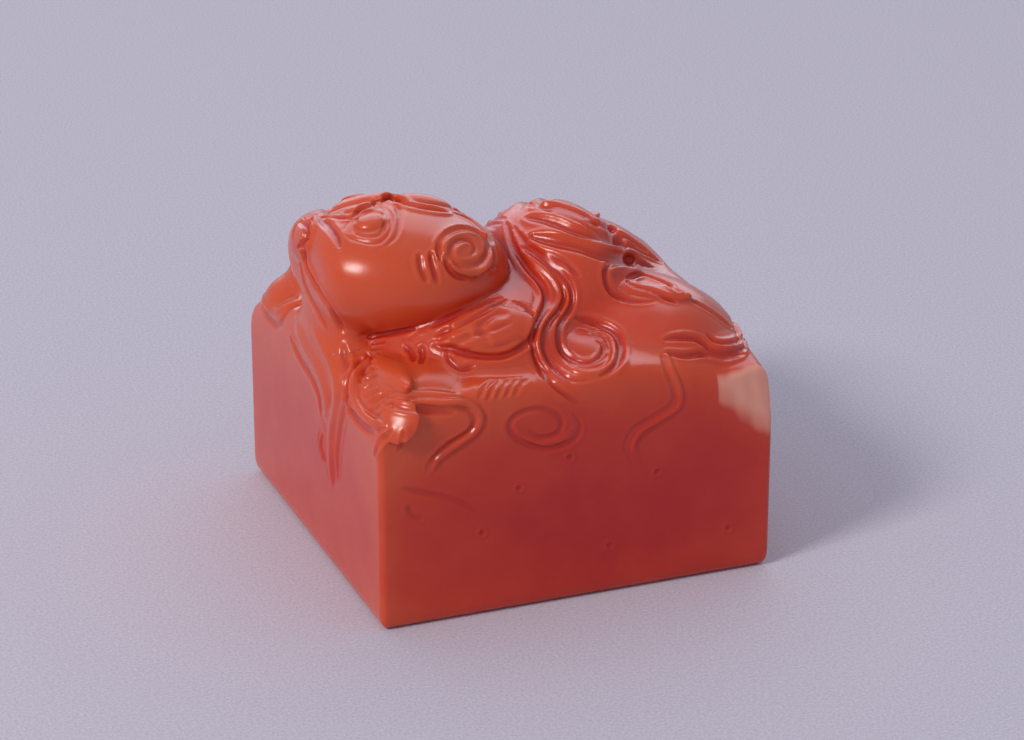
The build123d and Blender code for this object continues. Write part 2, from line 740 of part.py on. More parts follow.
with BuildPart() as far_flank_curl:
    with BuildSketch(plan_plane(far_flank_curl_place_shares, 180)):
        with BuildLine():
            curl_line(flank_curl_radius, curl_half_turns, (flank_curl_radius, 0))
        trace(line_width=flank_curl_line)
    extrude(amount=cut_overrun)
    with Locations((0, 0, crown_top - dome_radius)):
        Sphere(dome_radius + line_relief, mode=Mode.INTERSECT)
    for larger in (carved_bed, beast_shoulders, beast_torso, far_haunch):
        add(larger.part, mode=Mode.SUBTRACT)
far_flank_curl.part.label = "far_flank_curl"
export_step(far_flank_curl.part, "parts/far_flank_curl.step")

# A scroll and trailing tendrils in low relief on the front, right and back sides
with BuildPart() as front_scroll:
    with BuildSketch(Plane(origin=(0, -half, 0), x_dir=(1, 0, 0), z_dir=(0, -1, 0))):
        side_lines()
    extrude(amount=face_line_relief)
front_scroll.part.label = "front_scroll"
export_step(front_scroll.part, "parts/front_scroll.step")

with BuildPart() as right_scroll:
    with BuildSketch(Plane(origin=(half, 0, 0), x_dir=(0, 1, 0), z_dir=(1, 0, 0))):
        side_lines()
    extrude(amount=face_line_relief)
right_scroll.part.label = "right_scroll"
export_step(right_scroll.part, "parts/right_scroll.step")

with BuildPart() as back_scroll:
    with BuildSketch(Plane(origin=(0, half, 0), x_dir=(-1, 0, 0), z_dir=(0, 1, 0))):
        side_lines()
    extrude(amount=face_line_relief)
back_scroll.part.label = "back_scroll"
export_step(back_scroll.part, "parts/back_scroll.step")
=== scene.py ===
import math
import bpy
import numpy as np
from mathutils import Matrix, Vector


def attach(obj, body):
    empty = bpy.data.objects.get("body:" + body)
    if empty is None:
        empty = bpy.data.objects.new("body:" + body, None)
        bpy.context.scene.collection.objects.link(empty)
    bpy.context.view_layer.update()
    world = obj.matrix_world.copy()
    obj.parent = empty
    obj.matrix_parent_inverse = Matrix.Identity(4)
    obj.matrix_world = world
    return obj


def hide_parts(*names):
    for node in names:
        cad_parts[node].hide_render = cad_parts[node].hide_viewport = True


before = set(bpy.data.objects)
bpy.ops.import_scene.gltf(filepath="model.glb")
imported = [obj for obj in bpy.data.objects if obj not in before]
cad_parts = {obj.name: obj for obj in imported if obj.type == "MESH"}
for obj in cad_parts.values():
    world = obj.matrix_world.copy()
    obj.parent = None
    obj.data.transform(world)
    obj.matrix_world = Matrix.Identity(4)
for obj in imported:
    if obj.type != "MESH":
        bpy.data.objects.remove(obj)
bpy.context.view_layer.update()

# The carving is worked out in millimetres on a lattice, and written to meshes in metres
mm = 0.001
lattice_step = 0.12

# The camera, fitted to the block's corners
focal_px = 3515.0
image_middle = (512.0, 370.0)
image_width = 1024.0
camera_pitch = math.radians(22.8)
camera_yaw = math.radians(-21.3)
camera_target = np.array([10.71, 25.8, 0.0])
camera_distance = 286.8
sensor_width = 36.0
yaw_cos, yaw_sin = math.cos(camera_yaw), math.sin(camera_yaw)
pitch_cos, pitch_sin = math.cos(camera_pitch), math.sin(camera_pitch)
view_back = np.array([yaw_sin * pitch_cos, -yaw_cos * pitch_cos, pitch_sin])
view_right = np.array([yaw_cos, yaw_sin, 0.0])
view_up = np.cross(view_back, view_right)
camera_place = camera_target + view_back * camera_distance

# The camera's rays: where they start before its target, how far they go, their stride,
# and how closely a ray may pass the stone and still count as meeting it
cast_before = 62.0
cast_reach = 80.0
cast_stride = 0.08
cast_slack = 0.9

# The block, and the domed bed on its top, which falls away to the far left corner
half = 15.0
corner_radius = 0.7
crown_top = 18.7
edge_top = 16.8
dome_radius = half * half / (2 * (crown_top - edge_top)) + (crown_top - edge_top) / 2
edge_roll = 1.5
foot_roll = 1.2
stock_roll = 0.9
slope_point = (-15.0, 15.0, 13.3)
slope_normal = (-2.2, 2.2, 5.5)
slope_fillet = 1.5

# Low swells and hollows along the bed's front: place from left to right, reach, height
bed_swells = [(-7.5, 2.6, 0.55), (3.4, 2.8, 0.2), (-1.4, 1.6, -0.35), (10.8, 2.2, -0.5)]
swell_depth = 3.0

# The chip off the front right corner, where the stone broke with a slight ripple
chip_point = (13.1, -14.7, 13.15)
chip_normal = (0.202, -0.951, 0.234)
chip_edge = 0.15
chip_ripple = 0.05
chip_waves = ((3.1, 2.3), (-2.0, 1.7))
chip_reach = 2.6

# The chip's pale colour: how far it fades out, its share at the break, and its fading with depth
chip_fade = 0.3
chip_full = 1.4
chip_depth_share = 0.3

# The printing face, in the sizes of the CAD plate
rim_width = 1.6
fret_line = 0.9
fret_gap = 1.0
fret_turns = 3
face_relief = 0.8
face_thickness = 1.6
face_fillet = 0.25

# How far the plate laps under the rim, and the height of the lattice's part that holds it
plate_lap = 0.5
face_window = 2.4

# The lattice that the stone is carved in
lattice_low = np.array([-15.7, -15.7, -0.5])
lattice_high = np.array([15.7, 15.7, 28.3])
lattice_count = np.ceil((lattice_high - lattice_low) / lattice_step).astype(int) + 1
ruler = [
    (lattice_low[i] + lattice_step * np.arange(lattice_count[i])).astype(np.float32)
    for i in range(3)
]
face_high = (lattice_high[0], lattice_high[1], face_window)

# A distance for places away from the stone, a guard against division by zero, and how far
# from a grid's last point a place has to stay to lie inside its last cell
far_off = 9.0
tiny = 1e-9
cell_room = 1.001

# Balls and lines: spare room around a ball and a line, and steps between a curve's given points
ball_margin = 2.6
line_margin = 0.3
curve_steps = 24
pixel_spacing = 1.5

# A cut line throws up a low rim on each side: its reach and place in half widths, its height in depths
rim_reach = 2.1
rim_place = 1.25
rim_height = 0.38
broad_width = 0.6
broad_rim_height = 0.16

# A line is cut in dabs, a share of its half width apart, and thins out to a share of it at its tips
dab_share = 0.35
dab_least = 0.1
tip_reach = 0.25
tip_share = 0.25

# The far side: points nearer the middle than this aren't mirrored, how often the others are
# settled on the surface, and how much of their rise the far lobes keep
middle_gap = 0.5
far_rounds = 8
far_rise_share = 0.7

# The lines in plan that things are mirrored in, each by a point and its way
head_middle = ((-8.6, -0.3), (0.970, -0.242))
trunk_middle = ((0.0, -0.4), (1.0, 0.0))
side_middle = ((0.0, 0.0), (1.0, 0.0))

# The pieces: how softly each dives under its neighbours, and the smallest loose part that is kept
dive_softness = 0.25
rind = 0.01
crumb_share = 0.05

# How hollow the surface is close by, and how thick the stone is behind it: these paint shade into the
# cuts and a glow of light through thin stone
hollow_reach = 0.42
hollow_limit = 0.6
thick_reach = 2.2
coarse_stride = 4
blur_rounds = 3


def window(near, far):
    """The part of the lattice between two corners, and its open grids."""
    cut = []
    for i in range(3):
        start = int((near[i] - lattice_low[i]) / lattice_step)
        stop = int((far[i] - lattice_low[i]) / lattice_step) + 2
        cut.append(slice(max(start, 0), max(min(stop, int(lattice_count[i])), 1)))
    x = ruler[0][cut[0]][:, None, None]
    y = ruler[1][cut[1]][None, :, None]
    z = ruler[2][cut[2]][None, None, :]
    return tuple(cut), x, y, z


def smooth_least(a, b, reach):
    """The lower of two fields, with a fillet of that reach where they meet."""
    near = np.maximum(reach - np.abs(a - b), 0) / reach
    return np.minimum(a, b) - near * near * reach / 4


def smooth_most(a, b, reach):
    """The higher of two fields, with a rounded edge of that reach."""
    return -smooth_least(-a, -b, reach)


def turning(yaw, pitch, roll):
    """The rotation matrix of three angles in degrees."""
    a, b, c = np.radians([yaw, pitch, roll])
    about_z = np.array([[np.cos(a), -np.sin(a), 0], [np.sin(a), np.cos(a), 0], [0, 0, 1]])
    about_y = np.array([[np.cos(b), 0, np.sin(b)], [0, 1, 0], [-np.sin(b), 0, np.cos(b)]])
    about_x = np.array([[1, 0, 0], [0, np.cos(c), -np.sin(c)], [0, np.sin(c), np.cos(c)]])
    return about_z @ about_y @ about_x


def ball_field(x, y, z, centre, radii, matrix):
    """Distance to a stretched ball."""
    dx, dy, dz = x - centre[0], y - centre[1], z - centre[2]
    outer = 0
    inner = 0
    for i in range(3):
        local = matrix[0, i] * dx + matrix[1, i] * dy + matrix[2, i] * dz
        share = local / radii[i]
        outer = outer + share * share
        share = share / radii[i]
        inner = inner + share * share
    outer = np.sqrt(outer)
    return (outer * (outer - 1) / np.sqrt(inner + tiny)).astype(np.float32)


def prism_field(x, y):
    """Distance to the block's four upright sides."""
    ax = np.abs(x) - (half - corner_radius)
    ay = np.abs(y) - (half - corner_radius)
    outside = np.hypot(np.maximum(ax, 0), np.maximum(ay, 0))
    return outside + np.minimum(np.maximum(ax, ay), 0) - corner_radius


def chip_field(x, y, z):
    """Distance beyond the broken facet."""
    lean = sum((place - start) * way for place, start, way in zip((x, y, z), chip_point, chip_normal))
    first, second = (np.sin(wave[0] * x + wave[1] * z) for wave in chip_waves)
    return lean + chip_ripple * first * second


def between(values, place):
    """A grid's values at places given in its own steps, between grid points too."""
    place = np.clip(place, 0, np.array(values.shape) - cell_room)
    whole_part = place.astype(int)
    i, j, k = whole_part.T
    a, b, c = (place - whole_part).T
    found = 0
    for di, wi in ((0, 1 - a), (1, a)):
        for dj, wj in ((0, 1 - b), (1, b)):
            for dk, wk in ((0, 1 - c), (1, c)):
                found = found + values[i + di, j + dj, k + dk] * wi * wj * wk
    return found


def sample(values, points):
    """The lattice's values at points of the stone."""
    return between(values, (np.asarray(points) - lattice_low) / lattice_step)


# BLOCK
_, x, y, z = window(lattice_low, lattice_high)
prism = prism_field(x, y).astype(np.float32)
dome = np.sqrt(x * x + y * y + (z - crown_top + dome_radius) ** 2) - dome_radius
slope = np.array(slope_normal) / np.linalg.norm(slope_normal)
leaning = (
    (x - slope_point[0]) * slope[0] + (y - slope_point[1]) * slope[1] + (z - slope_point[2]) * slope[2]
)
for centre, reach, rise in bed_swells:
    along = np.exp(-(((x - centre) / reach) ** 2))
    dome = dome - rise * along * np.exp(-(((y + half) / swell_depth) ** 2))
field = smooth_most(dome, leaning, slope_fillet)
field = smooth_most(field, prism + 0 * z, edge_roll)
field = smooth_most(field, 0 * prism - z, foot_roll).astype(np.float32)

# The printing face: a rim, and a square fret in each quarter, left standing by a shallow cut
pitch = fret_line + fret_gap
fret_low = pitch / 2
fret_high = half - rim_width - fret_gap - fret_line / 2
flat_x, flat_y = ruler[0][:, None], ruler[1][None, :]
standing = np.full((lattice_count[0], lattice_count[1]), far_off)
for quarter in range(4):
    corners = [(fret_low, half - rim_width / 2)]
    for turn in range(fret_turns):
        step = turn * pitch
        corners.append((fret_low + step, fret_low + step))
        corners.append((fret_high - step, fret_low + step))
        corners.append((fret_high - step, fret_high - step))
        corners.append((fret_low + step + pitch, fret_high - step))
    for _ in range(quarter):
        corners = [(-b, a) for a, b in corners]
    for (ax, ay), (bx, by) in zip(corners[:-1], corners[1:]):
        length = (bx - ax) ** 2 + (by - ay) ** 2
        share = ((flat_x - ax) * (bx - ax) + (flat_y - ay) * (by - ay)) / length
        share = np.clip(share, 0, 1)
        gap_x = np.abs(flat_x - ax - share * (bx - ax))
        gap_y = np.abs(flat_y - ay - share * (by - ay))
        standing = np.minimum(standing, np.maximum(gap_x, gap_y) - fret_line / 2)
inner = np.maximum(np.abs(flat_x), np.abs(flat_y)) - (half - rim_width)
sunk = np.maximum(inner, -standing)[:, :, None].astype(np.float32)
face_cut, _, _, z_low = window(lattice_low, face_high)
sunk = smooth_most(sunk + 0 * z_low, z_low - face_relief + 0 * sunk, face_fillet)
field[face_cut] = smooth_most(field[face_cut], -sunk, face_fillet)
plate = np.maximum(inner[:, :, None] - plate_lap, z_low - face_thickness).astype(np.float32)
block_field = field.copy()
block_field[face_cut] = np.maximum(block_field[face_cut], -plate)
nearest = block_field.copy()
nearest[face_cut] = np.minimum(nearest[face_cut], plate)
pieces = {}


def normal_at(points):
    """The way out of the stone at points."""
    steps = []
    for i in range(3):
        move = np.zeros(3)
        move[i] = lattice_step
        steps.append(sample(field, points + move) - sample(field, points - move))
    found = np.stack(steps, -1)
    return found / (np.linalg.norm(found, axis=-1, keepdims=True) + tiny)


def settle(points, rounds=4):
    """Points moved onto the nearest surface."""
    points = np.array(points, float)
    for _ in range(rounds):
        points = points - normal_at(points) * sample(field, points)[:, None]
    return points


def cast(start, way):
    """Where rays first meet the stone, or pass it within the slack, and which of them do."""
    start, way = np.atleast_2d(start), np.atleast_2d(way)
    travel = np.arange(0, cast_reach, cast_stride)
    points = start[:, None, :] + way[:, None, :] * travel[None, :, None]
    inside = (points > lattice_low).all(-1) & (points < lattice_high).all(-1)
    values = np.full(inside.shape, far_off)
    values[inside] = sample(field, points[inside])
    met = values < 0
    hit = met.any(1)
    first = np.where(hit, met.argmax(1), values.argmin(1))
    first = np.maximum(first, 1)
    rows = np.arange(len(first))
    before, after = values[rows, first - 1], values[rows, first]
    share = np.where(hit, np.clip(before / (before - after + tiny), 0, 1), 1.0)
    found = start + way * (travel[first - 1] + share * cast_stride)[:, None]
    passing = ~hit & (after < cast_slack)
    if passing.any():
        found[passing] = settle(found[passing])
    return found, hit | passing


def smooth_line(points, spacing):
    """Evenly spaced points on a smooth curve through the given ones."""
    points = np.array(points, float)
    ends = np.vstack([2 * points[0] - points[1], points, 2 * points[-1] - points[-2]])
    share = np.linspace(0, 1, curve_steps, endpoint=False)[:, None]
    runs = []
    for i in range(len(points) - 1):
        a, b, c, d = ends[i : i + 4]
        bend = 2 * a - 5 * b + 4 * c - d
        twist = 3 * b - a - 3 * c + d
        runs.append(0.5 * (2 * b + (c - a) * share + bend * share**2 + twist * share**3))
    line = np.vstack(runs + [points[-1:]])
    gaps = np.linalg.norm(np.diff(line, axis=0), axis=1)
    along = np.concatenate([[0], np.cumsum(gaps)])
    count = max(int(along[-1] / spacing), 2) + 1
    wanted = np.linspace(0, along[-1], count)
    return np.stack([np.interp(wanted, along, line[:, i]) for i in range(line.shape[1])], -1)


def seen(pixels):
    """The stone's points behind a curve of image places, or behind a single one."""
    line = smooth_line(pixels, pixel_spacing) if len(pixels) > 1 else np.array(pixels, float)
    way = (
        -view_back[None, :]
        + view_right[None, :] * ((line[:, 0] - image_middle[0]) / focal_px)[:, None]
        - view_up[None, :] * ((line[:, 1] - image_middle[1]) / focal_px)[:, None]
    )
    way = way / np.linalg.norm(way, axis=1, keepdims=True)
    points, hit = cast(camera_place + way * (camera_distance - cast_before), way)
    return points[hit]


def seen_ends(pixels):
    """The stone's points behind each of two image places."""
    return np.stack([seen([pixel])[0] for pixel in pixels])


def add_ball(piece, centre, radii, matrix, blend):
    """A stretched ball joined to the stone, as part of a named piece."""
    centre, radii = np.array(centre, float), np.array(radii, float)
    reach = np.sqrt(((matrix * radii) ** 2).sum(1)) + ball_margin
    cut, x, y, z = window(centre - reach, centre + reach)
    distance = ball_field(x, y, z, centre, radii, matrix)
    field[cut] = smooth_least(field[cut], distance, blend)
    nearest[cut] = np.minimum(nearest[cut], distance)
    pieces.setdefault(piece, []).append((centre, radii, matrix, reach))


def add_lobe(piece, ends, width, rise, blend, sink, facing=None):
    """A lobe lying on the stone between two of its points, or leaning so that it faces a given way."""
    middle = settle([ends.mean(0)])
    out = normal_at(middle)[0] if facing is None else np.array(facing) / np.linalg.norm(facing)
    length = np.linalg.norm(ends[1] - ends[0])
    along = (ends[1] - ends[0]) / length
    along = along - out * (along @ out)
    along = along / np.linalg.norm(along)
    matrix = np.stack([along, np.cross(out, along), out], 1)
    add_ball(piece, middle[0] - out * sink, (length / 2, width / 2, rise), matrix, blend)


def engrave(points, width, depth, rims):
    """Cuts a groove of that half width along points on the surface; a depth below zero raises a ridge."""
    if len(points) < 2:
        return
    points = smooth_line(points, max(width * dab_share, dab_least))
    place = np.linspace(0, 1, len(points))
    ease = np.clip(np.minimum(place, 1 - place) / tip_reach, 0, 1)
    ease = tip_share + (1 - tip_share) * np.sqrt(ease * (2 - ease))
    reach = width * rim_reach
    cut, x, y, z = window(points.min(0) - reach - line_margin, points.max(0) + reach + line_margin)
    best = np.full([s.stop - s.start for s in cut], rim_reach**2, np.float32)
    gain = np.zeros(best.shape, np.float32)
    for point, share in zip(points, ease):
        local = []
        for i in range(3):
            start = int((point[i] - reach - lattice_low[i]) / lattice_step) - cut[i].start
            stop = int((point[i] + reach - lattice_low[i]) / lattice_step) + 2 - cut[i].start
            local.append(slice(max(start, 0), max(stop, 0)))
        local = tuple(local)
        dx = x[local[0]] - point[0]
        dy = y[:, local[1]] - point[1]
        dz = z[:, :, local[2]] - point[2]
        ratio = (dx * dx + dy * dy + dz * dz) / (width * share) ** 2
        box = best[local]
        closer = ratio < box
        box[closer] = ratio[closer]
        gain_box = gain[local]
        gain_box[closer] = depth * share
    across = np.sqrt(best)
    groove = np.clip(1 - best, 0, 1) ** 2
    rim = np.clip(1 - np.abs(across - rim_place) / (rim_reach - rim_place), 0, 1)
    lift = rim_height if width < broad_width else broad_rim_height
    if not rims:
        lift = 0.0
    field[cut] += gain * (groove - lift * rim * rim * (3 - 2 * rim))


def other_side(points, middle_line):
    """Points mirrored to the far side of a line in plan, and settled there."""
    point, way = np.array(middle_line[0], float), np.array(middle_line[1], float)
    way = way / np.linalg.norm(way)
    across = np.array([-way[1], way[0]])
    offset = (np.asarray(points)[:, :2] - point) @ across
    near = offset < -middle_gap
    offset = offset[near]
    flipped = np.array(points, float)[near]
    flipped[:, :2] = flipped[:, :2] - 2 * offset[:, None] * across
    return settle(flipped, far_rounds)


# FORMS
# The beast's main forms: piece, centre, radii, turn in degrees, fillet
level = (0, 0, 0)
main_forms = [
    # The crouching trunk: shoulders, humped back and two haunches
    ("trunk", (-4.0, -4.0, 16.9), (8.0, 8.4, 4.6), level, 1.2),
    ("trunk", (3.1, -0.8, 17.7), (5.8, 8.0, 6.7), (0, 12, 0), 1.6),
    ("trunk", (8.3, -6.0, 15.0), (6.8, 7.3, 4.9), (0, 8, 0), 1.4),
    ("trunk", (7.6, 6.6, 14.8), (7.2, 7.3, 5.2), level, 1.4),
    # Legs and paws
    ("near_foreleg", (-10.2, -10.6, 15.7), (3.7, 3.4, 2.2), (30, 0, 0), 0.8),
    ("near_forepaw", (-12.3, -13.1, 15.0), (2.1, 1.9, 1.9), level, 0.3),
    ("far_foreleg", (-8.4, 9.9, 16.0), (3.6, 3.4, 2.9), (-30, 0, 0), 0.5),
    ("far_forepaw", (-12.0, 10.4, 14.7), (2.9, 3.0, 2.5), level, 0.35),
    ("near_hind_paw", (11.3, -10.6, 15.4), (3.1, 2.6, 1.8), (20, 8, 0), 0.35),
    ("far_hind_paw", (11.3, 10.6, 15.4), (3.1, 2.6, 1.9), (-20, 8, 0), 0.35),
    # The head, turned a little, with its muzzle, far cheek and chin
    ("head", (-8.6, -2.5, 21.9), (7.5, 6.3, 4.5), (-12, 5, 0), 0.3),
    ("muzzle", (-12.5, 2.6, 21.6), (2.9, 3.9, 3.1), level, 1.2),
    ("head", (-7.4, 2.4, 20.8), (6.4, 4.8, 4.0), (-14, 0, 0), 1.5),
    ("chin", (-13.1, -0.6, 17.0), (2.2, 4.6, 3.2), level, 1.4),
]
for piece, centre, radii, turn, blend in main_forms:
    add_ball(piece, centre, radii, turning(*turn), blend)
field = smooth_most(field, chip_field(x, y, z), chip_edge).astype(np.float32)

# Everything stays inside the squared stock, apart from low relief
field = smooth_most(field, prism + 0 * z, stock_roll).astype(np.float32)

# Lobes that stand on the main forms, placed by what the camera sees of them:
# piece, image places of its ends, width, rise, fillet, how far it is sunk, and the far side's
# piece with the line that it is mirrored in
seen_lobes = [
    ("crest", [(391, 200), (452, 208)], 2.4, 0.8, 0.15, 0.25, None, None),
    ("crest", [(322, 212), (390, 201)], 2.0, 0.7, 0.4, 0.12, None, None),
    ("near_brow", [(344, 214), (374, 206)], 1.0, 0.35, 0.25, 0.0, "far_brow", head_middle),
    ("near_eye", [(356, 226), (386, 220)], 1.7, 0.4, 0.25, 0.0, "far_eye", head_middle),
    ("nose", [(292, 236), (314, 232)], 3.0, 0.8, 0.8, 0.35, None, None),
    ("near_ear", [(440, 250), (492, 252)], 3.8, 0.28, 0.6, 0.05, "far_ear", head_middle),
    ("shoulder_leaf", [(450, 338), (530, 322)], 3.0, 0.45, 0.6, 0.1, "far_leaf", trunk_middle),
    ("near_flank_curl", [(566, 340), (606, 342)], 2.8, 0.5, 0.5, 0.05, "far_flank_curl", trunk_middle),
    ("back_lock", [(612, 277), (690, 300)], 1.7, 0.45, 0.4, 0.1, "far_lock", trunk_middle),
    ("near_arm", [(378, 364), (414, 398)], 1.3, 0.4, 1.1, 0.05, "far_arm", trunk_middle),
    ("near_forearm", [(412, 397), (462, 402)], 1.3, 0.35, 0.4, 0.0, "far_forearm", trunk_middle),
]
lobe_ends = [seen_ends(lobe[1]) for lobe in seen_lobes]
for (piece, _, width, rise, blend, sink, partner, line), ends in zip(seen_lobes, lobe_ends):
    add_lobe(piece, ends, width, rise, blend, sink)
    if partner:
        add_lobe(partner, other_side(ends, line), width, rise * far_rise_share, blend, sink)

# The near forepaw's rounded back, which leans out over the corner
paw_pixels = [(383, 412), (417, 431)]
paw_facing = (-0.57, -0.61, 0.55)
paw_width = 3.1
paw_rise = 0.42
paw_fillet = 0.2
paw_sink = 0.05
add_lobe("near_forepaw", seen_ends(paw_pixels), paw_width, paw_rise, paw_fillet, paw_sink, paw_facing)

# LINES
# Lines cut and raised by what the camera sees: image places, half width, depth
line_cuts = {
    "crest_groove": ([(383, 198), (400, 203), (420, 208), (447, 212)], 0.55, 0.5),
    "head_rim": ([(452, 212), (472, 221), (487, 236), (494, 254), (493, 270)], 0.45, 0.22),
    "brow_under": ([(318, 217), (350, 218), (362, 209), (376, 203), (392, 203)], 0.3, 0.2),
    "lid_outer": ([
        (340, 235), (350, 221), (362, 209), (380, 206), (391, 216), (390, 232), (378, 243),
        (358, 241), (343, 235),
    ], 0.24, 0.1),
    "lid_inner": ([
        (352, 232), (358, 219), (368, 212), (381, 214), (385, 224), (379, 235), (364, 237),
        (353, 232),
    ], 0.22, 0.11),
    "eye_tail": ([(395, 204), (400, 218), (395, 236), (386, 246)], 0.3, 0.12),
    "nose_wing": ([(300, 221), (309, 230), (308, 240), (298, 247)], 0.34, 0.3),
    "nose_line": ([(318, 216), (327, 225), (336, 236), (340, 248)], 0.4, 0.26),
    "nose_side": ([(312, 218), (306, 236), (305, 252), (309, 270), (317, 284)], 0.45, 0.32),
    "lip": ([(309, 268), (318, 288), (331, 308), (344, 332)], 0.45, 0.22),
    "lip_second": ([(300, 262), (306, 286), (318, 310), (328, 330)], 0.35, 0.15),
    "cheek_hair_a": ([(419, 254), (421, 268), (427, 283)], 0.3, 0.18),
    "cheek_hair_b": ([(431, 252), (433, 266), (438, 284)], 0.3, 0.18),
    "cheek_hair_c": ([(446, 254), (448, 266), (455, 275), (468, 279)], 0.3, 0.15),
    "leaf_edge": ([
        (432, 345), (450, 349), (472, 355), (500, 356), (520, 348), (531, 338), (533, 322),
        (526, 308), (512, 301),
    ], 0.35, 0.25),
    "leaf_top": ([(434, 336), (452, 328), (470, 320), (490, 309), (508, 300)], 0.3, 0.2),
    "leaf_vein": ([(445, 341), (470, 336), (492, 330), (512, 322)], 0.3, 0.1),
    "leaf_pit": ([(490, 345), (480, 330), (490, 316), (508, 313)], 0.5, 0.12),
    "neck_strand_a": ([(430, 328), (450, 319), (475, 309), (503, 297)], 0.3, 0.2),
    "neck_strand_b": ([(368, 338), (390, 333), (415, 328)], 0.3, 0.15),
    "hook": ([(447, 350), (451, 362), (462, 369), (474, 366)], 0.3, 0.14),
    "s_band_a": ([
        (506, 222), (514, 246), (527, 268), (541, 284), (546, 299), (541, 314), (533, 330),
        (533, 350), (541, 370), (556, 388), (580, 404),
    ], 0.4, 0.26),
    "s_band_b": ([
        (513, 226), (528, 250), (546, 264), (560, 279), (565, 296), (560, 310), (549, 322),
        (543, 338), (545, 355), (556, 370), (573, 380), (594, 380),
    ], 0.35, 0.2),
    "s_band_c": ([
        (518, 232), (540, 255), (560, 270), (571, 290), (570, 307), (560, 322), (558, 338),
        (563, 352), (575, 361), (590, 363), (602, 356), (603, 346), (595, 340),
    ], 0.35, 0.24),
    "curl_ring": ([(575, 318), (598, 324), (616, 334), (621, 350), (615, 366), (600, 376)], 0.4, 0.2),
    "mane_a": ([
        (528, 203), (548, 208), (570, 215), (592, 226), (614, 239), (640, 250), (660, 262),
    ], 0.8, 0.7),
    "mane_b": ([(526, 217), (550, 221), (575, 231), (603, 239), (630, 247), (652, 258)], 0.7, 0.55),
    "mane_c": ([(530, 236), (556, 241), (580, 246), (606, 255), (632, 261), (652, 267)], 0.8, 0.7),
    "mane_d": ([(535, 207), (556, 206), (578, 213), (598, 224)], 0.55, 0.35),
    "mane_e": ([(585, 219), (605, 228), (630, 240), (648, 252)], 0.55, 0.35),
    "mane_f": ([(521, 248), (540, 252), (562, 262), (580, 276)], 0.4, 0.16),
    "lock_outline": ([
        (640, 265), (618, 263), (606, 269), (607, 285), (616, 296), (634, 302), (655, 302),
    ], 0.35, 0.25),
    "lock_inner": ([(626, 281), (634, 286), (655, 292), (676, 303)], 0.3, 0.2),
    "lock_inner_top": ([(626, 279), (640, 275), (660, 281), (680, 292)], 0.35, 0.28),
    "haunch_a": ([(664, 340), (680, 338), (698, 340), (712, 350), (730, 352), (746, 347)], 0.35, 0.25),
    "haunch_b": ([(664, 352), (684, 356), (704, 354), (724, 357), (744, 354)], 0.35, 0.22),
    "haunch_c": ([(706, 333), (716, 342), (732, 343), (745, 338)], 0.3, 0.2),
    "haunch_d": ([(690, 300), (712, 312), (732, 328)], 0.35, 0.14),
    "tendril_a_left": ([
        (412, 405), (440, 408), (464, 410), (473, 420), (468, 432), (446, 446), (430, 462),
        (426, 474),
    ], 0.26, 0.14),
    "tendril_b_left": ([
        (660, 350), (666, 370), (673, 390), (671, 404), (650, 418), (632, 430), (625, 448),
        (634, 466),
    ], 0.22, 0.1),
    "spiral_low": ([
        (571, 410), (580, 426), (572, 441), (545, 449), (519, 441), (509, 426), (520, 413),
        (544, 409), (561, 420), (556, 434), (538, 437), (527, 428),
    ], 0.3, 0.15),
    "foreleg_back": ([
        (362, 358), (348, 376), (345, 392), (350, 410), (362, 426), (376, 436),
    ], 0.4, 0.25),
    "arm_under": ([(384, 402), (404, 408), (428, 411), (456, 413)], 0.35, 0.16),
    "claw_a": ([(392, 430), (380, 443), (374, 456)], 0.28, 0.18),
    "claw_b": ([(404, 431), (402, 442), (398, 452)], 0.24, 0.14),
    "elbow_a": ([(404, 345), (411, 352), (415, 362)], 0.3, 0.2),
    "elbow_b": ([(421, 346), (423, 354), (421, 364)], 0.3, 0.2),
    "beard_right": ([
        (343, 345), (346, 370), (347, 395), (342, 420), (338, 450), (338, 480),
    ], 0.5, 0.16),
    "beard_left": ([(290, 336), (300, 358), (311, 376), (319, 396), (321, 416)], 0.4, 0.14),
    "edge_line": ([(400, 488), (430, 494), (455, 500), (478, 512)], 0.3, 0.12),
    "edge_hook": ([(408, 505), (412, 515), (422, 519)], 0.3, 0.12),
}
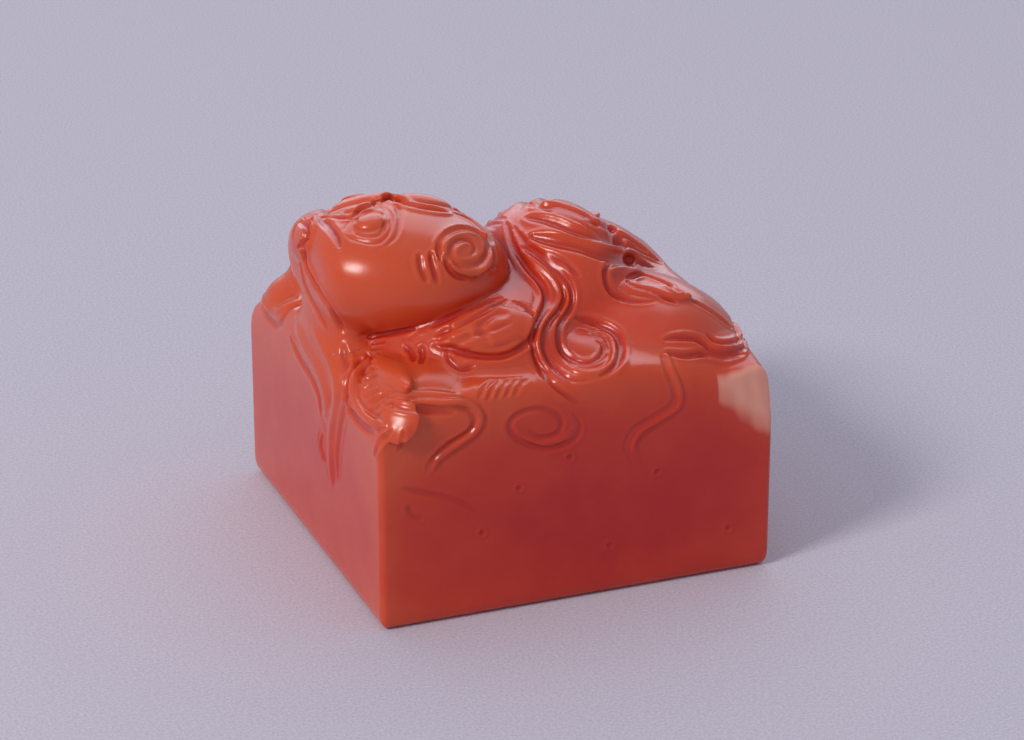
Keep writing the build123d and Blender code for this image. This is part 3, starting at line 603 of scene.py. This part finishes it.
line_ridges = {
    "tendril_a": ([
        (408, 401), (440, 402), (462, 402), (476, 408), (481, 420), (474, 433), (453, 448),
        (438, 460), (432, 473),
    ], 0.3, -0.26),
    "tendril_b": ([
        (665, 348), (672, 368), (680, 388), (679, 406), (660, 420), (641, 432), (633, 448),
        (641, 463),
    ], 0.26, -0.18),
    "foreleg_ridge": ([
        (370, 358), (356, 374), (352, 390), (357, 407), (369, 420), (386, 426),
    ], 0.42, -0.3),
    "s_ridge_a": ([
        (513, 253), (530, 277), (539, 290), (541, 301), (536, 316), (530, 340), (534, 358),
        (543, 374), (555, 390), (575, 408),
    ], 0.3, -0.14),
    "s_ridge_b": ([
        (520, 250), (543, 268), (557, 284), (560, 297), (555, 310), (543, 322), (537, 340),
        (541, 358), (553, 372), (570, 385),
    ], 0.3, -0.14),
    "s_ridge_c": ([
        (550, 266), (564, 284), (568, 299), (563, 312), (555, 325), (552, 341), (556, 355),
        (567, 366), (583, 372), (600, 371), (611, 363), (614, 350), (610, 338), (600, 333),
        (588, 333),
    ], 0.3, -0.18),
    "spiral_rim": ([(575, 424), (566, 436), (545, 443), (524, 436), (515, 426)], 0.3, -0.1),
    "beard_lock": ([
        (312, 330), (326, 352), (335, 376), (336, 400), (332, 425), (331, 455), (332, 484),
    ], 0.9, -0.3),
    "beard_broad": ([(296, 326), (306, 350), (318, 372), (326, 396), (326, 420)], 1.1, -0.22),
    "beard_tuft": ([(322, 432), (320, 446), (325, 462)], 0.26, -0.15),
    "ear_rim": ([(450, 262), (459, 271), (472, 275), (484, 270), (491, 259), (492, 246)], 0.3, -0.16),
    "leaf_rim": ([(470, 350), (490, 353), (508, 350), (522, 341)], 0.3, -0.12),
    "vein_light": ([(440, 344), (455, 338), (466, 333)], 0.4, -0.18),
}

# Short strokes, by half width and depth: between the foreleg's ridge and the arm, on the bed
# behind the paw, and under the chin
hatch_groups = [
    (0.24, -0.16, [
        [(364, 372), (375, 364)],
        [(361, 381), (375, 372)],
        [(361, 389), (376, 379)],
        [(363, 396), (378, 386)],
        [(366, 402), (381, 392)],
        [(370, 408), (386, 398)],
        [(376, 413), (391, 404)],
    ]),
    (0.26, 0.1, [
        [(478, 400), (486, 386), (494, 380)],
        [(487, 401), (494, 387), (502, 380)],
        [(496, 400), (503, 386), (511, 379)],
        [(505, 398), (512, 385), (519, 379)],
        [(514, 396), (520, 385), (527, 379)],
    ]),
    (0.2, 0.1, [
        [(372, 344), (386, 341)],
        [(371, 350), (384, 347)],
    ]),
]

# Small pits in the front face
pit_pixels = [(519, 488), (570, 457), (657, 472), (728, 528), (482, 533), (610, 545)]
pit_half = 1.5
pit_width = 0.26
pit_depth = 0.2

# The spiral in the ear, from its outer end inwards
ear_middle = (466, 250)
ear_radii = (29, 7)
ear_angles = (math.radians(150), math.radians(770))
ear_flatness = 0.86
ear_steps = 40
ear_width = 0.34
ear_depth = 0.22
ear_spiral = [
    (ear_middle[0] + r * math.cos(a), ear_middle[1] + r * math.sin(a) * ear_flatness)
    for r, a in zip(np.linspace(*ear_radii, ear_steps), np.linspace(*ear_angles, ear_steps))
]
drawn = {}
for table in (line_cuts, line_ridges):
    for name, (pixels, width, depth) in table.items():
        drawn[name] = (seen(pixels), width, depth)
drawn["ear_spiral"] = (seen(ear_spiral), ear_width, ear_depth)
for width, depth, strokes in hatch_groups:
    for pixels in strokes:
        drawn[f"hatch_{len(drawn)}"] = (seen(pixels), width, depth)
for number, (across, down) in enumerate(pit_pixels):
    dot = seen([(across - pit_half, down), (across + pit_half, down)])
    drawn[f"pit_{number}"] = (dot, pit_width, pit_depth)

# The far side of the beast and the other upright sides carry the same kind of lines
on_head = [
    "head_rim", "brow_under", "lid_outer", "lid_inner", "eye_tail", "nose_wing", "nose_line",
    "cheek_hair_a", "cheek_hair_b", "cheek_hair_c", "ear_rim", "ear_spiral",
]
on_trunk = [
    "leaf_edge", "leaf_top", "leaf_vein", "leaf_pit", "hook", "s_band_a", "s_band_b", "s_band_c",
    "curl_ring", "mane_a", "mane_b", "mane_c", "lock_outline", "lock_inner", "lock_inner_top",
    "haunch_a", "haunch_b", "haunch_c", "haunch_d", "s_ridge_a", "s_ridge_b", "s_ridge_c",
    "leaf_rim", "vein_light", "foreleg_back", "foreleg_ridge",
]
on_sides = [
    "tendril_a", "tendril_b", "tendril_a_left", "tendril_b_left", "spiral_low", "spiral_rim",
    "edge_line", "edge_hook",
]
for names, line in ((on_head, head_middle), (on_trunk, trunk_middle), (on_sides, side_middle)):
    for name in names:
        points, width, depth = drawn[name]
        drawn["far_" + name] = (other_side(points, line), width, depth)
for name in on_sides:
    points, width, depth = drawn[name]
    turned = np.stack([-points[:, 1], points[:, 0], points[:, 2]], -1)
    drawn["right_" + name] = (settle(turned, far_rounds), width, depth)
for name, (points, width, depth) in drawn.items():
    engrave(points, width, depth, rims=not name.startswith("far_"))


# MESHES
def box_blur(values, radius):
    """A mean over a cube of lattice points."""
    for direction in range(3):
        size = values.shape[direction]
        total = np.cumsum(values, axis=direction, dtype=np.float32)
        upper = np.minimum(np.arange(size) + radius, size - 1)
        lower = np.maximum(np.arange(size) - radius - 1, 0)
        width = (upper - lower).astype(np.float32)
        shape = [1, 1, 1]
        shape[direction] = size
        total = np.take(total, upper, direction) - np.take(total, lower, direction)
        values = total / width.reshape(shape)
    return values


hollow_radius = max(int(round(hollow_reach / lattice_step)), 1)
hollow = box_blur(np.clip(field, -hollow_limit, hollow_limit), hollow_radius)
coarse_step = lattice_step * coarse_stride
thick_radius = int(round(thick_reach / coarse_step))
padding = blur_rounds * thick_radius
solid = field[::coarse_stride, ::coarse_stride, ::coarse_stride] < 0
coarse = np.pad(solid.astype(np.float32), padding)
for _ in range(blur_rounds):
    coarse = box_blur(coarse, thick_radius)
corner_steps = [(i, j, k) for i in (0, 1) for j in (0, 1) for k in (0, 1)]


def skin_of(values, origin):
    """A closed mesh of quads around the part of the lattice below zero."""
    shape = np.array(values.shape)
    inside = values < 0
    cells = np.zeros(tuple(shape - 1), np.uint8)
    for i, j, k in corner_steps:
        cells += inside[i : shape[0] - 1 + i, j : shape[1] - 1 + j, k : shape[2] - 1 + k]
    mixed = (cells > 0) & (cells < len(corner_steps))
    where = np.argwhere(mixed)
    label = np.full(cells.shape, -1, np.int32)
    label[mixed] = np.arange(len(where))
    total = np.zeros((len(where), 3), np.float64)
    count = np.zeros(len(where))
    for i, j, k in corner_steps:
        for direction in range(3):
            far = [i, j, k]
            if far[direction]:
                continue
            far[direction] = 1
            first = values[where[:, 0] + i, where[:, 1] + j, where[:, 2] + k]
            second = values[where[:, 0] + far[0], where[:, 1] + far[1], where[:, 2] + far[2]]
            crossing = (first < 0) != (second < 0)
            share = np.where(crossing, first / np.where(crossing, first - second, 1), 0)
            place = np.tile(np.array([i, j, k], float), (len(where), 1))
            place[:, direction] = share
            total += place * crossing[:, None]
            count += crossing
    points = origin + lattice_step * (where + total / count[:, None])
    quads = []
    for direction in range(3):
        ahead = [slice(None)] * 3
        behind = [slice(None)] * 3
        ahead[direction] = slice(1, None)
        behind[direction] = slice(None, -1)
        for rising in (False, True):
            a, b = inside[tuple(behind)], inside[tuple(ahead)]
            edges = np.argwhere((~a & b) if rising else (a & ~b))
            one, two = [d for d in range(3) if d != direction]
            fits = (
                (edges[:, one] > 0)
                & (edges[:, two] > 0)
                & (edges[:, one] < shape[one] - 1)
                & (edges[:, two] < shape[two] - 1)
            )
            edges = edges[fits]
            corners = []
            for step_one, step_two in ((1, 1), (0, 1), (0, 0), (1, 0)):
                cell = edges.copy()
                cell[:, one] -= step_one
                cell[:, two] -= step_two
                corners.append(label[cell[:, 0], cell[:, 1], cell[:, 2]])
            quad = np.stack(corners, 1)
            if rising == (direction != 1):
                quad = quad[:, ::-1]
            quads.append(quad)
    return points, np.concatenate(quads)


def without_crumbs(points, quads):
    """The mesh without the small loose parts of it."""
    label = np.arange(len(points))
    while True:
        lowest = label[quads].min(1)
        spread = label.copy()
        for corner in range(4):
            np.minimum.at(spread, quads[:, corner], lowest)
        spread = spread[spread]
        if np.array_equal(spread, label):
            break
        label = spread
    sizes = np.bincount(label, minlength=len(points))
    kept = sizes[label] >= crumb_share * sizes.max()
    moved = np.cumsum(kept) - 1
    return points[kept], moved[quads[kept[quads[:, 0]]]]


def build_piece(name, points, quads, material):
    """A mesh object of the piece, with how hollow, thick and broken it is at each point."""
    mesh = bpy.data.meshes.new(name)
    mesh.vertices.add(len(points))
    mesh.vertices.foreach_set("co", (points * mm).astype(np.float32).ravel())
    mesh.loops.add(len(quads) * 4)
    mesh.loops.foreach_set("vertex_index", quads.astype(np.int32).ravel())
    mesh.polygons.add(len(quads))
    mesh.polygons.foreach_set("loop_start", np.arange(0, len(quads) * 4, 4, dtype=np.int32))
    mesh.update(calc_edges=True)
    mesh.validate()
    mesh.polygons.foreach_set("use_smooth", np.ones(len(mesh.polygons), bool))
    behind = np.maximum(points[:, 1] + half - chip_reach, 0)
    chip_gap = np.abs(chip_field(*points.T)) + chip_depth_share * behind
    at_chip = points[:, 0] > chip_point[0] - chip_reach
    marks = {
        "hollow": -sample(hollow, points),
        "thick": between(coarse, (points - lattice_low) / coarse_step + padding),
        "broken": np.clip(chip_full - chip_gap / chip_fade, 0, 1) * at_chip,
    }
    for key, values in marks.items():
        layer = mesh.attributes.new(key, "FLOAT", "POINT")
        layer.data.foreach_set("value", values.astype(np.float32))
    mesh.materials.append(material)
    item = bpy.data.objects.new(name, mesh)
    bpy.context.scene.collection.objects.link(item)
    return item


# MATERIALS
# The stone's colours from thin to thick, a painted glow of light through thin stone, each with its place
# on the ramp, and the paper's
stone_tone_and_glow_ramp = [
    (0.10, (0.70, 0.090, 0.026, 1)),
    (0.30, (0.63, 0.042, 0.012, 1)),
    (0.52, (0.52, 0.012, 0.008, 1)),
]
paper_ramp = [
    (0.25, (0.51, 0.49, 0.57, 1)),
    (0.75, (0.75, 0.73, 0.83, 1)),
]
# Painted shade in the cuts and hollows: a darker, more saturated red
crease_shade_colour = (0.50, 0.014, 0.006, 1)
broken_colour = (0.86, 0.38, 0.27, 1)
scatter_colours = (1.0, 0.22, 0.12)

# How much the thickness, which paints a glow of light through thin stone, and the cloudiness count
thick_glow_share = 0.55
cloud_share = 0.24

# In metres: the heights between which painted shade darkens the stone lower down, the places from left to
# right between which the painted glow of the key lamp shining through the left side fades, how far light
# scatters in it, and how high its grain stands
painted_shade_from = 0.017
painted_shade_to = 0.008
left_glow_from = -0.015
left_glow_to = -0.002
scatter_reach = 0.0009
grain_height = 0.00008


def node_of(tree, kind, inputs=None, **settings):
    """A new shader node with its settings and the values of its sockets."""
    node = tree.nodes.new(kind)
    for key, value in settings.items():
        setattr(node, key, value)
    for socket, value in (inputs or {}).items():
        node.inputs[socket].default_value = value
    return node


def map_range(tree, source, start, stop, low, high):
    """A node that carries a socket's value over from one range to another."""
    limits = {"From Min": start, "From Max": stop, "To Min": low, "To Max": high}
    node = node_of(tree, "ShaderNodeMapRange", inputs=limits)
    tree.links.new(source, node.inputs["Value"])
    return node


def colour_ramp(tree, source, stops):
    """A socket with the colours of a ramp, each at its place, that another socket drives."""
    ramp = node_of(tree, "ShaderNodeValToRGB")
    tree.links.new(source, ramp.inputs["Fac"])
    elements = ramp.color_ramp.elements
    for number, (place, colour) in enumerate((stops[0], stops[-1])):
        elements[number].position = place
        elements[number].color = colour
    for place, colour in stops[1:-1]:
        elements.new(place).color = colour
    return ramp.outputs["Color"]


def noise(tree, place, scale, detail, roughness):
    """A noise texture in the object's own space."""
    values = {"Scale": scale, "Detail": detail, "Roughness": roughness}
    node = node_of(tree, "ShaderNodeTexNoise", inputs=values)
    tree.links.new(place.outputs["Object"], node.inputs["Vector"])
    return node


def stone_material(name, roughness):
    """Polished translucent red stone, with painted light: a glow where thin, darker where thick, and
    painted shade, more saturated, in the cuts.
    """
    material = bpy.data.materials.new(name)
    material.use_nodes = True
    tree = material.node_tree
    tree.nodes.clear()
    link = tree.links.new
    out = node_of(tree, "ShaderNodeOutputMaterial")
    shade = node_of(tree, "ShaderNodeBsdfPrincipled")
    link(shade.outputs["BSDF"], out.inputs["Surface"])
    place = node_of(tree, "ShaderNodeTexCoord")
    thick, hollowed, broken = (
        node_of(tree, "ShaderNodeAttribute", attribute_name=mark)
        for mark in ("thick", "hollow", "broken")
    )

    # Depth of colour: how thick the stone is, which paints a glow of light through thin stone, a
    # cloudiness, painted shade low down, and a painted glow to the left where the key lamp would shine
    # through
    depth = node_of(tree, "ShaderNodeMath", operation="MULTIPLY", inputs={1: thick_glow_share})
    link(thick.outputs["Fac"], depth.inputs[0])
    cloud = noise(tree, place, 260.0, 3.0, 0.5)
    weights = {1: cloud_share, 2: -cloud_share / 2}
    cloud_part = node_of(tree, "ShaderNodeMath", operation="MULTIPLY_ADD", inputs=weights)
    link(cloud.outputs["Fac"], cloud_part.inputs[0])
    axes = node_of(tree, "ShaderNodeSeparateXYZ")
    link(place.outputs["Object"], axes.inputs["Vector"])
    # Painted shade: darker lower down, where less light comes in from above
    lower = map_range(tree, axes.outputs["Z"], painted_shade_from, painted_shade_to, -0.04, 0.22)
    # Painted glow: brighter to the left, where the key lamp would shine through the stone
    painted_left_glow = map_range(tree, axes.outputs["X"], left_glow_from, left_glow_to, -0.17, 0.0)
    for part in (cloud_part, lower, painted_left_glow):
        total = node_of(tree, "ShaderNodeMath", operation="ADD")
        link(depth.outputs[0], total.inputs[0])
        link(part.outputs[0], total.inputs[1])
        depth = total
    colour = colour_ramp(tree, depth.outputs[0], stone_tone_and_glow_ramp)

    # Painted shade makes the cuts darker and more saturated, and the break is pale
    cut = map_range(tree, hollowed.outputs["Fac"], 0.015, 0.14, 0.0, 0.8)
    for share, tint in ((cut.outputs["Result"], crease_shade_colour), (broken.outputs["Fac"], broken_colour)):
        mix = node_of(tree, "ShaderNodeMix", data_type="RGBA")
        mix.inputs["B"].default_value = tint
        link(share, mix.inputs["Factor"])
        link(colour, mix.inputs["A"])
        colour = mix.outputs["Result"]
    link(colour, shade.inputs["Base Color"])
    shade.inputs["Subsurface Weight"].default_value = 0.35
    shade.inputs["Subsurface Radius"].default_value = scatter_colours
    shade.inputs["Subsurface Scale"].default_value = scatter_reach
    shade.inputs["Roughness"].default_value = roughness
    shade.inputs["IOR"].default_value = 1.52
    grain = noise(tree, place, 900.0, 4.0, 0.6)
    bump = node_of(tree, "ShaderNodeBump", inputs={"Strength": 0.12, "Distance": grain_height})
    link(grain.outputs["Fac"], bump.inputs["Height"])
    link(bump.outputs["Normal"], shade.inputs["Normal"])
    return material


def paper_material(name):
    """The pale floor, with a fine grain of fibres."""
    material = bpy.data.materials.new(name)
    material.use_nodes = True
    tree = material.node_tree
    place = node_of(tree, "ShaderNodeTexCoord")
    fibres = noise(tree, place, 4500.0, 2.0, 0.8)
    colour = colour_ramp(tree, fibres.outputs["Fac"], paper_ramp)
    shade = tree.nodes["Principled BSDF"]
    tree.links.new(colour, shade.inputs["Base Color"])
    shade.inputs["Roughness"].default_value = 0.85
    return material


polished = stone_material("polished_stone", 0.2)
carved = stone_material("carved_stone", 0.25)

# PIECES
replaced = {
    "carved_block": (
        "seal_block", "carved_bed", "front_scroll", "right_scroll", "back_scroll", "beard",
    ),
    "printing_face": ("seal_face",),
    "trunk": (
        "beast_torso", "beast_shoulders", "near_haunch", "far_haunch", "mane_strands",
        "tail_strands",
    ),
    "head": ("beast_head",),
    "muzzle": ("muzzle",),
    "nose": ("nose",),
    "crest": ("head_crest",),
    "chin": ("chin_tuft",),
    "shoulder_leaf": ("shoulder_leaf",),
    "far_leaf": ("far_shoulder_leaf",),
    "back_lock": ("near_back_lock",),
    "far_lock": ("far_back_lock",),
}
for side in ("near", "far"):
    replaced[f"{side}_arm"] = (f"{side}_upper_arm",)
    for part in ("brow", "eye", "ear", "foreleg", "forearm", "forepaw", "hind_paw", "flank_curl"):
        replaced[f"{side}_{part}"] = (f"{side}_{part}",)


def own_field(name, cut, x, y, z):
    """Distance to a piece's own balls, or to the block or its printing face."""
    if name == "carved_block":
        return block_field[cut]
    if name == "printing_face":
        return plate
    balls = [ball_field(x, y, z, centre, radii, matrix) for centre, radii, matrix, _ in pieces[name]]
    return np.minimum.reduce(balls)


def carve_piece(name):
    """The piece's share of the carved surface, closed beneath its neighbours."""
    if name == "carved_block":
        near, far = lattice_low, lattice_high
    elif name == "printing_face":
        near, far = lattice_low, face_high
    else:
        near = np.min([centre - reach for centre, _, _, reach in pieces[name]], 0)
        far = np.max([centre + reach for centre, _, _, reach in pieces[name]], 0)
    cut, x, y, z = window(near, far)
    beyond = np.maximum(own_field(name, cut, x, y, z) - nearest[cut], 0)
    values = field[cut] + beyond * beyond / (beyond + dive_softness)
    for direction in range(3):
        for end in (0, -1):
            side = [slice(None)] * 3
            side[direction] = end
            values[tuple(side)] = np.maximum(values[tuple(side)], rind)
    origin = lattice_low + lattice_step * np.array([s.start for s in cut])
    points, quads = without_crumbs(*skin_of(values, origin))
    item = build_piece(name, points, quads, polished if name == "carved_block" else carved)
    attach(item, "root")
    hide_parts(*replaced[name])


for name in ["carved_block", "printing_face"] + sorted(pieces):
    carve_piece(name)

# STAGE
# The floor, camera and lamps, in metres
floor_half = 1.6
floor_drop = 0.00002
clip_near = 0.01
clip_far = 20
room_colour = (0.80, 0.80, 0.92, 1)
stone_middle = (0, 0, 0.02)
overhead_place = (0.05, 0.12, 0.42)
overhead_sizes = (0.42, 0.42)
overhead_watts = 0.1
overhead_colour = (0.92, 0.92, 1.0)
sheen_place = (0.13, 0.36, 0.30)
sheen_sizes = (0.5, 0.55)
sheen_watts = 1.5
sheen_colour = (0.86, 0.88, 1.0)
key_way = Vector((-0.73, -0.28, 0.63))
key_distance = 0.8
key_aim = (0, 0, 0.015)
key_sizes = (0.19, 0.19)
key_watts = 2.75
key_colour = (1.0, 0.93, 0.90)

floor_corners = [(x * floor_half, y * floor_half, 0) for x, y in ((-1, -1), (1, -1), (1, 1), (-1, 1))]
floor_mesh = bpy.data.meshes.new("floor")
floor_mesh.from_pydata(floor_corners, [], [(0, 1, 2, 3)])
floor_mesh.materials.append(paper_material("paper"))
floor = bpy.data.objects.new("floor", floor_mesh)
floor.location.z = -floor_drop
bpy.context.scene.collection.objects.link(floor)

camera_data = bpy.data.cameras.new("camera")
camera = bpy.data.objects.new("camera", camera_data)
bpy.context.scene.collection.objects.link(camera)
camera_data.sensor_width = sensor_width
camera_data.lens = focal_px / image_width * sensor_width
camera_data.clip_start = clip_near
camera_data.clip_end = clip_far
camera_turn = Matrix((view_right, view_up, view_back)).transposed()
camera.matrix_world = Matrix.Translation(Vector(camera_place * mm)) @ camera_turn.to_4x4()
bpy.context.scene.camera = camera

# A pale room, a little lighter behind the stone
world = bpy.data.worlds.new("room")
world.use_nodes = True
room = world.node_tree
room.nodes["Background"].inputs["Color"].default_value = room_colour
room_way = node_of(room, "ShaderNodeTexCoord")
room_axes = node_of(room, "ShaderNodeSeparateXYZ")
room.links.new(room_way.outputs["Generated"], room_axes.inputs["Vector"])
room_level = map_range(room, room_axes.outputs["Y"], -0.2, 0.7, 0.47, 0.56)
room.links.new(room_level.outputs["Result"], room.nodes["Background"].inputs["Strength"])
bpy.context.scene.world = world


def area_light(name, place, target, sizes, watts, colour):
    """A rectangular lamp that faces a target."""
    data = bpy.data.lights.new(name, "AREA")
    data.shape = "RECTANGLE"
    data.size, data.size_y = sizes
    data.energy = watts
    data.color = colour
    item = bpy.data.objects.new(name, data)
    bpy.context.scene.collection.objects.link(item)
    item.location = place
    way = Vector(target) - Vector(place)
    item.rotation_mode = "QUATERNION"
    item.rotation_quaternion = way.to_track_quat("-Z", "Y")
    return item


# The sheen lamp only shows in the polish, and the key lamp lights the stone from the front left
area_light("overhead", overhead_place, stone_middle, overhead_sizes, overhead_watts, overhead_colour)
sheen = area_light("sheen", sheen_place, stone_middle, sheen_sizes, sheen_watts, sheen_colour)
sheen.visible_diffuse = False
area_light("key", key_way * key_distance, key_aim, key_sizes, key_watts, key_colour)

scene = bpy.context.scene
scene.view_settings.view_transform = "Standard"
